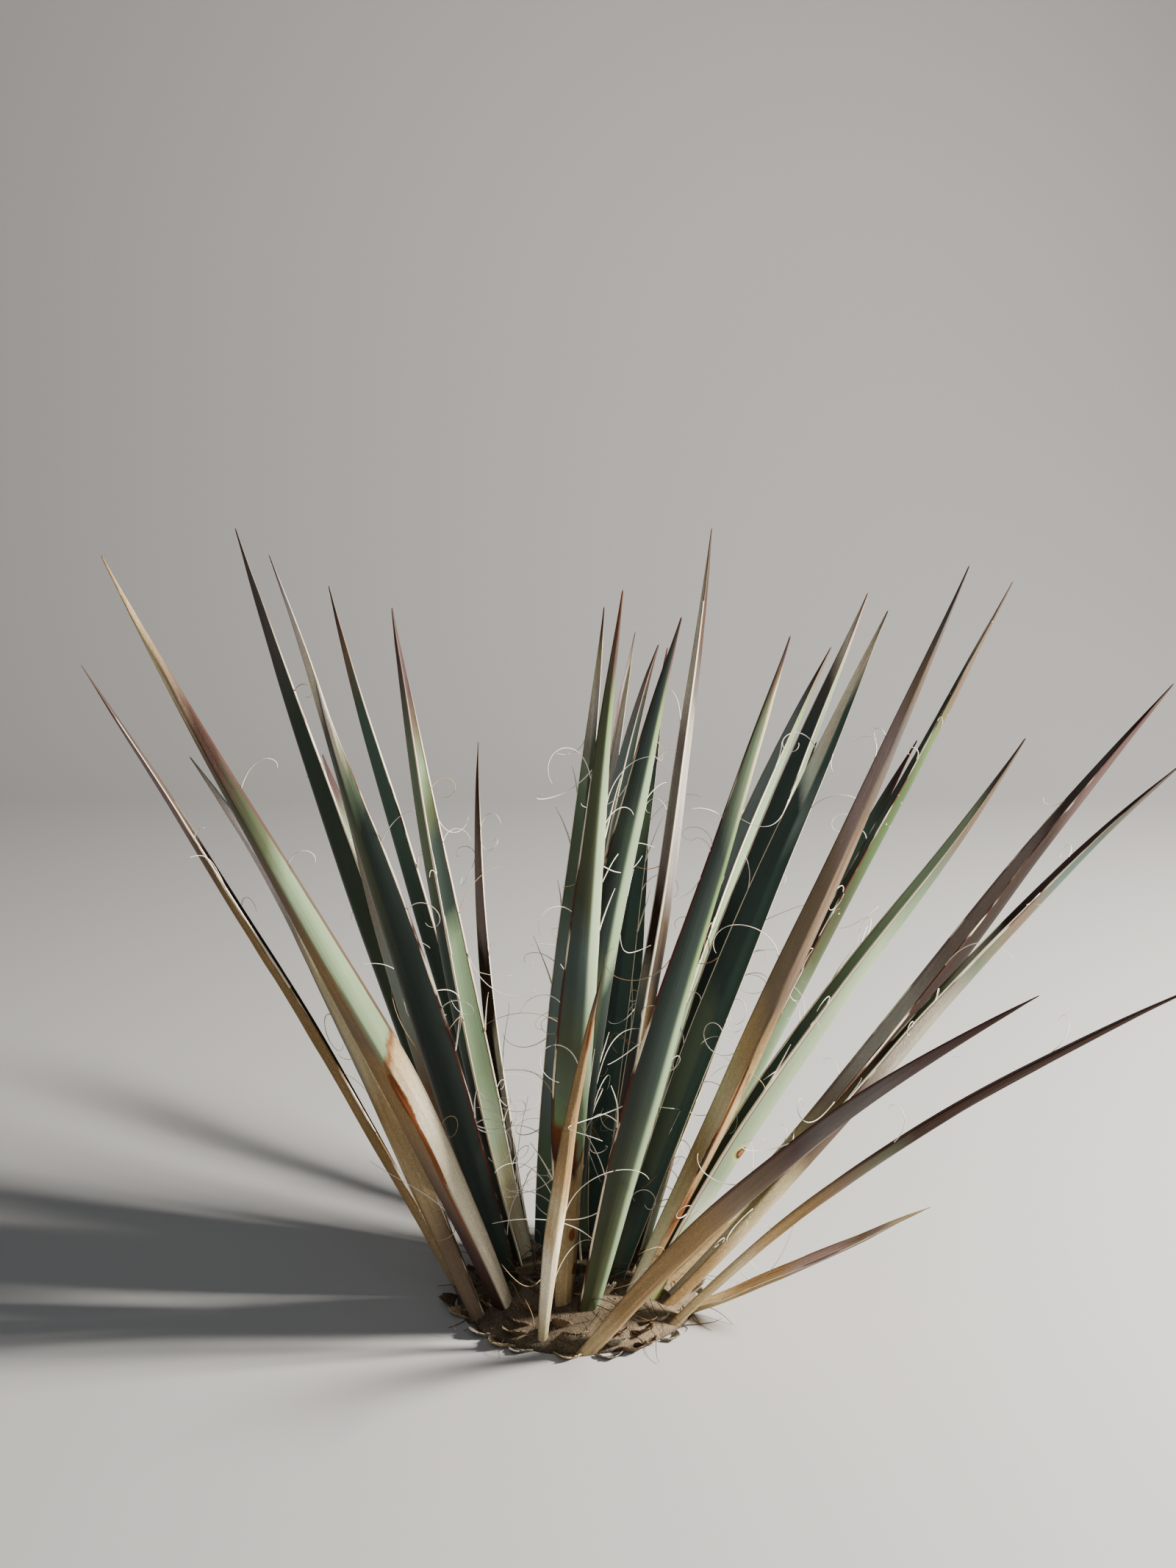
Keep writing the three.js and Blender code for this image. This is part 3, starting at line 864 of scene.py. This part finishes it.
def leaf_material(name):
    finish, leaf = finishes[name], leaves[name]
    material = start_material("skin_of_" + name)
    tree = material.node_tree
    along = add_node(tree, "Attribute", output="Fac", attribute_name="along")
    across = add_node(tree, "Attribute", output="Fac", attribute_name="across")
    skin = add_node(tree, "Attribute", output="Vector", attribute_name="skin")
    reach = use_group(tree, front_group, "Reach", Along=along, Across=across, Skin=skin,
                      Point=front_point, Ragged=front_ragged)
    left, right = tone_ramp(reach, finish["left"]), tone_ramp(reach, finish["right"])
    right_share = between(across, -keel_blend, keel_blend)
    left_share = calc("SUBTRACT", 1.0, right_share)
    dryness = right.output("Alpha") * right_share + left.output("Alpha") * left_share
    streaked = use_group(tree, streak_group, Color=mixed(right_share, left, right), Skin=skin,
                         Strength=dryness * dry_streaks + finish["streaks"], Bloom=bloom)
    wrinkled = use_group(tree, wrinkle_group, Color=streaked, Skin=skin, Dryness=dryness)
    color = wrinkled
    for shade, place, place_across, half_length, half_wide in scars.get(name, []):
        x = float(half_width(leaf, np.array([place]))[0]) * place_across / 1000
        centre = (x, place * leaf["length"] / 1000, 0)
        color = use_group(tree, scar_group, Color=color, Skin=skin, Scar=tones[shade], Place=centre,
                          Reach=(1000 / half_wide, 1000 / half_length, 0))
    if finish["specks"]:
        color = use_group(tree, speck_group, Color=color, Skin=skin, Amount=finish["specks"],
                          Speck=speck_pale)
    color = use_group(tree, margin_group, Color=color, Along=along, Across=across, Skin=skin,
                      Rim=tones["cream"], Line=line_brown, Whole=finish["rim"], Dryness=dryness)
    roughness = between(dryness, 0.0, 1.0, wax_roughness, straw_roughness)
    height = streaked.output("Height") * streak_relief + wrinkled.output("Height")
    return dress(material, color, roughness, bloom_gloss, height, leaf_bump_mm)


print("surfaces go from", wax_roughness, "to", straw_roughness, "rough")

# %% [markdown]
# ## Building every leaf
# One loop makes all the leaves and hands each one over in place of its CAD node.

# %% Build the leaves
dry_leaves = ("middle_leaf_3", "right_leaf_12")
for name in leaves:
    piece = place_piece(leaf_mesh(name), leaf_material(name))
    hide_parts(name)
    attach(piece, "root")
    "dry_leaf" if name in dry_leaves else "leaf"
print("built", len(leaves), "leaves")

# %% [markdown]
# ## The crown
# The short stem is hidden under the stubs of old leaves and their brown fibre. A lumpy mound of the
# same size takes the place of the CAD node's plain one: a grid in polar steps, lifted by the random
# surface, with its rim kept on the ground.

# %% Crown mound
crown_rings = 39
crown_steps = 120
lump_mm = 5.0

ring_share = np.linspace(0, 1, crown_rings + 1)[1:]
step_angle = np.linspace(0, 2 * math.pi, crown_steps, endpoint=False)
share, angle = np.meshgrid(ring_share, step_angle, indexing="ij")
radius = crown_radius[-1] * share
broad_lumps = random_surface(share * 5 + 2, np.sin(angle) * 7 + 9, 6)
lumps = random_surface(share * 9 + 3, np.cos(angle) * 6 + 9, 5) + broad_lumps
height = np.interp(radius, crown_radius, crown_height) + lump_mm * lumps * (1 - share) * 0.5
height[-1] = 0
height = np.clip(height, 0, crown_height[0])
mound = np.stack([radius * np.cos(angle) * crown_stretch, radius * np.sin(angle), height], -1)
mound_points = np.concatenate([mound.reshape(-1, 3), [[0, 0, crown_height[0] - 1], [0, 0, 0]]])
top, bottom = crown_rings * crown_steps, crown_rings * crown_steps + 1
rim = top - crown_steps
mound_faces = np.roll(ring_faces(crown_rings, crown_steps)[:, ::-1], 1, axis=1).tolist()
for step in range(crown_steps):
    ahead = (step + 1) % crown_steps
    mound_faces += [(top, step, ahead), (bottom, rim + ahead, rim + step)]
mound_mesh = smooth_mesh("crown_mound", mound_points, mound_faces)
print("crown mound has", len(mound_faces), "faces")

# %% [markdown]
# ## Fibre mat and old wood
# Old fibre is a tangle of brown threads, and the nearly black between them is painted shade in the
# gaps. Object coordinates suit it, as it has no direction of its own. In other tones it also colours
# the stubs, where its darker tone is painted shade between threads too.

# %% Group: fibre mat
mat_group, given = start_group("fibre_mat", "Dark Light", "Place")
tangle = noise(given["Place"], (300, 300, 90), detail=5, roughness=0.7, distortion=2.5)
patch = noise(given["Place"], (28, 28, 28))
# the first colour is painted shade in the gaps between threads, the second the threads' own brown
share_light = between(tangle * 0.7 + patch * 0.3, 0.36, 0.62)
end_group(mat_group, Color=mixed(share_light, given["Dark"], given["Light"]), Height=tangle)
mat_roughness = 0.9


def mat_material(name, dark, light, depth_mm):
    material = start_material(name)
    place = add_node(material.node_tree, "TexCoord", output="Object")
    mat = use_group(place.tree, mat_group, Place=place, Dark=linear(dark), Light=linear(light))
    return dress(material, mat, mat_roughness, height=mat.output("Height"), bump_mm=depth_mm)


# 231c15 is painted shade between the threads
crown = place_piece(mound_mesh, mat_material("old_fibre", "#231c15", "#7d6c54", 2))
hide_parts("crown")
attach(crown, "root")

# %% [markdown]
# ## Threads
# A thread is a thin tube along a run of points. One object for each would make hundreds, so all
# threads of a kind are gathered into one mesh.

# %% Thread bundles
thread_sides = 4


def thread_bundle(name, paths, thick_mm, thin_mm, material):
    """One piece of tapering tubes along the paths, which are arrays of points in millimetres."""
    points, faces = [], []
    turn = (np.arange(thread_sides) / thread_sides * 2 * math.pi)[:, None]
    for path in paths:
        ahead = unit(np.gradient(path, axis=0))
        guide = [0.3, 0.2, 1.0] if abs(ahead[0][2]) < 0.9 else [1.0, 0.2, 0.1]
        side = unit(np.cross(ahead, guide))
        other = np.cross(ahead, side)
        radius = np.linspace(thick_mm, thin_mm, len(path)) / 2
        ring = side[:, None] * np.cos(turn) + other[:, None] * np.sin(turn)
        body = path[:, None] + ring * radius[:, None, None]
        body[..., 2] = np.maximum(body[..., 2], floor_mm)
        first = len(points)
        points.extend(body.reshape(-1, 3).tolist())
        end = len(points) - thread_sides
        faces.extend((ring_faces(len(path), thread_sides) + first).tolist())
        faces.append(range(end, end + thread_sides))
        faces.append(range(first + thread_sides - 1, first - 1, -1))
    return place_piece(smooth_mesh(name, points, faces), material)


def plain_material(name, color, roughness):
    return dress(start_material(name), color, roughness)


print("threads have", thread_sides, "sides")

# %% [markdown]
# ## Curling fibres
# Fibres split off the margins and curl like wood shavings. An arc of a circle would look drawn with
# a compass, so each fibre is walked step by step: a heading turns about an axis, ever more tightly,
# while the axis turns slowly about the heading. Hooks, loops and lazy S-bends all come from that.

# %% Curl paths
curl_points = 26


def curl_path(start, heading, axis, length, bends, twist, droop):
    """Points of a walk. bends holds degrees of bend per millimetre at the start, middle and end."""
    step = length / curl_points
    path = [start]
    for i in range(curl_points):
        bend = np.interp(i / curl_points, [0, 0.5, 1], bends)
        heading = turned(heading, axis, np.radians(bend * step))
        axis = turned(axis, heading, np.radians(twist * step))
        heading = unit(heading + np.array([0, 0, -droop * step / 100]))
        axis = unit(axis - heading * (axis @ heading))
        path.append(path[-1] + heading * step)
    return np.array(path)


def margin_point(name, place, side):
    """A point on a leaf's margin, with the direction along the leaf and away from it there."""
    leaf = leaves[name]
    middle, ahead, face, right = (v[0] for v in leaf_frame(name, [place]))
    half = float(half_width(leaf, np.array([place]))[0])
    rise = half * leaf["gutter"] / 2 - 0.5
    return middle + right * side * half * 0.985 + face * rise, ahead, unit(right * side + face * 0.5)


def margin_fibre(name, draw):
    place = draw.uniform(0.1, 0.84) ** 1.15
    start, ahead, outward = margin_point(name, place, draw.choice([-1, 1]))
    lean = math.radians(draw.uniform(2, 60))
    forward = ahead if draw.uniform() < 0.7 else -ahead
    heading = unit(forward * math.cos(lean) + outward * math.sin(lean))
    axis = unit(np.cross(forward, outward) + draw.normal(0, 0.5, 3))
    axis = unit(axis - heading * (axis @ heading))
    length = draw.uniform(28, 135) * (1.15 - place * 0.6)
    rate = draw.uniform(40, 330) / length
    bends = rate * draw.uniform(0, 1), rate * draw.uniform(0.4, 1.4), rate * draw.uniform(0.6, 2.4)
    return curl_path(start, heading, axis, length, bends, draw.uniform(-1.2, 1.2), draw.uniform(0, 0.5))


print("a curl has", curl_points, "steps")

# %% [markdown]
# ## Which leaves shed most
# Fibres are thickest on the young leaves in the middle of the clump and in the lower half of each.
# Most are bone white. Older ones have gone tan.

# %% Fibres on the margins
fibre_counts = {
    "left_leaf_8": 16, "left_leaf_6": 10, "left_leaf_9": 8, "middle_leaf_2": 15, "middle_leaf_6": 15,
    "middle_leaf_7": 11, "middle_leaf_8": 9, "right_leaf_1": 16, "right_leaf_2": 10, "right_leaf_3": 12,
    "right_leaf_4": 16, "right_leaf_7": 16, "right_leaf_6": 10, "right_leaf_9": 8, "middle_leaf_3": 3,
    "right_leaf_12": 2, "right_leaf_11": 3, "right_leaf_10": 4,
}
usual_fibres = 6
draw = np.random.default_rng(11)
pale_curls, tan_curls = {}, {}
for name in leaves:
    part_of = name.split("_")[0]
    for _ in range(fibre_counts.get(name, usual_fibres)):
        path = margin_fibre(name, draw)
        target = tan_curls if draw.uniform() < 0.22 else pale_curls
        target.setdefault(part_of, []).append(path)

pale_fibre = plain_material("pale_fibre", linear("#e9e1d0"), 0.6)
tan_fibre = plain_material("tan_fibre", linear("#a98a63"), 0.7)
for kind, bundles, material in (("pale", pale_curls, pale_fibre), ("tan", tan_curls, tan_fibre)):
    for part_of, paths in bundles.items():
        piece = thread_bundle(f"{kind}_curls_{part_of}", paths, 1.15, 0.45, material)
        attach(piece, "root")
        print(piece.name, len(paths), "fibres")

# %% [markdown]
# ## Torn strips
# On some leaves the whole horny edge has come away in one long cream strip that still hangs on at
# both ends: a thread twice as thick, laid along the margin with a little slack. Others have snapped
# off at the top and stand away like nearly straight bristles. A negative place is on the left margin.

# %% Strips
strips = {
    "right_leaf_10": (-1, 0.12, 0.72, 5.0),
    "left_leaf_5": (1, 0.35, 0.8, 3.0),
    "middle_leaf_8": (1, 0.3, 0.9, 2.0),
    "left_leaf_2": (-1, 0.5, 0.92, 2.0),
    "right_leaf_9": (1, 0.3, 0.75, 3.0),
}
strip_points = 40
torn_edge = plain_material("torn_edge", linear("#e6dcc4"), 0.7)
strip_paths = []
for name, (side, first, last, slack) in strips.items():
    path = []
    for share in np.linspace(0, 1, strip_points):
        point, _, outward = margin_point(name, first + (last - first) * share, side)
        wave = math.sin(share * math.pi) * (1 + 0.4 * math.sin(share * 17))
        path.append(point + outward * slack * wave)
    strip_paths.append(np.array(path))

bristles = {
    "middle_leaf_1": (-0.4, -0.52, -0.62, -0.7),
    "middle_leaf_2": (-0.3, -0.55, -0.68, 0.2),
    "middle_leaf_6": (-0.34, -0.6, 0.45),
    "middle_leaf_7": (0.5, 0.62),
    "left_leaf_6": (-0.3, -0.42),
    "left_leaf_7": (0.6, 0.72),
    "left_leaf_8": (-0.5, -0.62, 0.36),
    "right_leaf_1": (-0.24, -0.5, 0.3),
    "right_leaf_3": (0.55, 0.7),
    "right_leaf_7": (0.4, -0.56),
}
draw = np.random.default_rng(47)
bristle_paths = []
for name, places in bristles.items():
    for place in places:
        start, ahead, outward = margin_point(name, abs(place), math.copysign(1, place))
        lean = math.radians(draw.uniform(3, 26))
        heading = unit(ahead * math.cos(lean) + outward * math.sin(lean))
        axis = unit(np.cross(ahead, outward))
        bends = draw.uniform(-0.3, 0.5), draw.uniform(-0.4, 0.7), draw.uniform(-0.5, 0.8)
        bristle_paths.append(curl_path(start, heading, axis, draw.uniform(26, 62), bends, 0.3, 0.1))
thick_threads = (("torn_strips", strip_paths, 2.4, 1.0), ("bristles", bristle_paths, 2.2, 0.5))
for label, paths, thick, thin in thick_threads:
    piece = thread_bundle(label, paths, thick, thin, torn_edge)
    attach(piece, "root")
    print(label, len(paths))

# %% [markdown]
# ## Old leaf bases
# Leaves that died and broke off leave short clasping bases round the crown, which fill the gaps
# between the living leaves' feet. Each is a small closed scale: a sheet bent round the crown, with a
# ragged upper edge, thinning upwards.

# %% Old leaf bases
scale_columns = 15
scale_rows = 8
clear_of_foot_mm = 17


def scale_shape(angle, ring_radius, wide, tall, lean, draw):
    """Points and faces of one scale in millimetres, numbered from zero."""
    outward = np.array([math.cos(angle), math.sin(angle), 0])
    tangent = np.array([-math.sin(angle), math.cos(angle), 0])
    up = np.array([0, 0, 1])
    upward = outward * math.sin(lean) + up * math.cos(lean)
    normal = outward * math.cos(lean) - up * math.sin(lean)
    x, y = crown_spot(angle, ring_radius)
    base = np.array([x, y, max(crown_height_at(x, y) - 5, 1.5)])
    c, r = np.meshgrid(np.linspace(-1, 1, scale_columns), np.linspace(0, 1, scale_rows))
    bites = draw.uniform(0, 1, scale_columns)[None, :] * np.abs(np.sin(c * 9 + angle))
    ragged = 1 - 0.45 * c**2 - 0.35 * bites
    high = r * tall * ragged
    half = wide / 2 * (1 - 0.25 * r)
    bulge = wide * 0.2 * (1 - c**2) + tall * 0.12 * r**2
    thick = normal * (3.2 * (1 - 0.75 * r) * (1 - 0.5 * c**2))[..., None] / 2
    middle = base + tangent * (c * half)[..., None] + upward * high[..., None] + normal * bulge[..., None]
    points = np.concatenate([(middle + thick).reshape(-1, 3), (middle - thick).reshape(-1, 3)])
    points[:, 2] = np.maximum(points[:, 2], floor_mm)
    numbers = np.arange(c.size).reshape(c.shape)
    quads = net_faces(numbers)
    rim = np.concatenate([numbers[0], numbers[1:, -1], numbers[-1, -2::-1], numbers[-2:0:-1, 0]])
    following = np.roll(rim, -1)
    edge = np.stack([rim, rim + c.size, following + c.size, following], -1)
    return points, np.concatenate([quads, quads[:, ::-1] + c.size, edge])


def clear_of_feet(x, y):
    return all(math.hypot(leaf["x"] - x, leaf["y"] - y) > clear_of_foot_mm for leaf in leaves.values())


rings_of_scales = ((28, 5), (52, 10), (74, 15), (94, 21), (108, 27), (118, 34))
# each kind's first colour is painted shade between its threads, the second its own tone
scale_kinds = {
    "grey": ("#4a4339", "#a89c88", [], []),
    "brown": ("#33261b", "#7e664b", [], []),
    "straw": ("#77603f", "#cdb78e", [], []),
}
draw = np.random.default_rng(23)
for ring_radius, count in rings_of_scales:
    for i in range(count):
        angle = (i + draw.uniform(-0.3, 0.3)) / count * 2 * math.pi
        around = ring_radius + draw.uniform(-6, 4)
        x, y = crown_spot(angle, around)
        kind = draw.choice(["grey", "brown", "straw"], p=[0.35, 0.4, 0.25])
        wide, tall = draw.uniform(22, 38), draw.uniform(18, 34) * (1.25 - around / 260)
        lean = math.radians(10 + 32 * around / 120 + draw.uniform(-10, 8))
        if not clear_of_feet(x, y):
            continue
        points, faces = scale_shape(angle, around, wide, tall, lean, draw)
        _, _, all_points, all_faces = scale_kinds[kind]
        all_faces.extend((faces + len(all_points)).tolist())
        all_points.extend(points.tolist())

for kind, (dark, light, all_points, all_faces) in scale_kinds.items():
    material = mat_material("old_base_" + kind, dark, light, 1)
    piece = place_piece(smooth_mesh("old_bases_" + kind, all_points, all_faces), material)
    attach(piece, "root")
    print(piece.name, len(all_faces), "faces")

# %% [markdown]
# ## Brown fibre round the crown
# The oldest fibres have rotted brown. They lie tangled among the bases and spill a little way over
# the ground, so that the clump grows out of a nest and not off a plate.

# %% Brown fibres
brown_count = 260
draw = np.random.default_rng(31)
brown_paths = []
for _ in range(brown_count):
    angle = draw.uniform(0, 2 * math.pi)
    around = draw.uniform(30, 122)
    x, y = crown_spot(angle, around)
    start = np.array([x, y, crown_height_at(x, y) + draw.uniform(-1, 8)])
    outward = np.array([math.cos(angle), math.sin(angle), 0])
    heading = unit(outward * draw.uniform(0.2, 1) + draw.normal(0, 0.6, 3))
    axis = unit(np.cross(heading, draw.normal(0, 1, 3)))
    bends = draw.uniform(-2, 2), draw.uniform(-3, 3), draw.uniform(-6, 6)
    path = curl_path(start, heading, axis, draw.uniform(18, 58), bends, draw.uniform(-4, 4), 1.6)
    path[:, 2] = np.maximum(path[:, 2], 1.0)
    brown_paths.append(path)
for kind, paths, code in (("dark", brown_paths[::2], "#3b281b"), ("light", brown_paths[1::2], "#8a6a47")):
    material = plain_material("old_fibre_" + kind, linear(code), 0.85)
    piece = thread_bundle("old_fibre_" + kind, paths, 1.1, 0.5, material)
    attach(piece, "root")
print(brown_count, "brown fibres")

# %% [markdown]
# ## Floor
# A pale sheet runs back under the plant and sweeps up behind it, so that no edge shows.

# %% Stage
floor_half_width = 7000
floor_front = -5000
floor_bend_start = 2600
bend_radius = 1600
wall_top = 6000
bend_steps = 16

turn = np.linspace(0, math.pi / 2, bend_steps + 1)
bend = np.stack([floor_bend_start + bend_radius * np.sin(turn), bend_radius * (1 - np.cos(turn))], -1)
profile = [(floor_front, 0), *bend, (floor_bend_start + bend_radius, wall_top)]
sheet_points = [(x, y, z) for y, z in profile for x in (-floor_half_width, floor_half_width)]
sheet_faces = net_faces(np.arange(len(sheet_points)).reshape(-1, 2)).tolist()
pale_floor = plain_material("pale_floor", (0.37, 0.365, 0.36, 1.0), 0.9)
floor = place_piece(smooth_mesh("floor", sheet_points, sheet_faces), pale_floor)
print("floor from", floor_front, "to", floor_bend_start + bend_radius, "mm")

# %% [markdown]
# ## Light
# The plant stood in low sun from the right, and the rest was in soft, cool shade. A small square
# light takes the sun's place and a wide one the open sky's.

# %% Lights
plant_middle = Vector((0.05, 0.1, 0.4))


def soft_light(name, place, size, watts, color):
    data = bpy.data.lights.new(name, "AREA")
    data.shape = "SQUARE"
    data.size = size
    data.energy = watts
    data.color = color
    light = bpy.data.objects.new(name, data)
    light.location = place
    light.rotation_euler = (plant_middle - Vector(place)).to_track_quat("-Z", "Y").to_euler()
    bpy.context.collection.objects.link(light)
    print(name, watts, "W")


soft_light("low_sun", (3.04, -0.21, 2.0), 0.4, 640, (1.0, 0.95, 0.87))
soft_light("open_sky", (-0.4, -2.4, 3.0), 3.0, 28, (0.9, 0.95, 1.0))
world = bpy.data.worlds.new("studio")
world.use_nodes = True
world.node_tree.nodes["Background"].inputs["Color"].default_value = (0.84, 0.91, 1.0, 1.0)
world.node_tree.nodes["Background"].inputs["Strength"].default_value = 0.1
bpy.context.scene.world = world
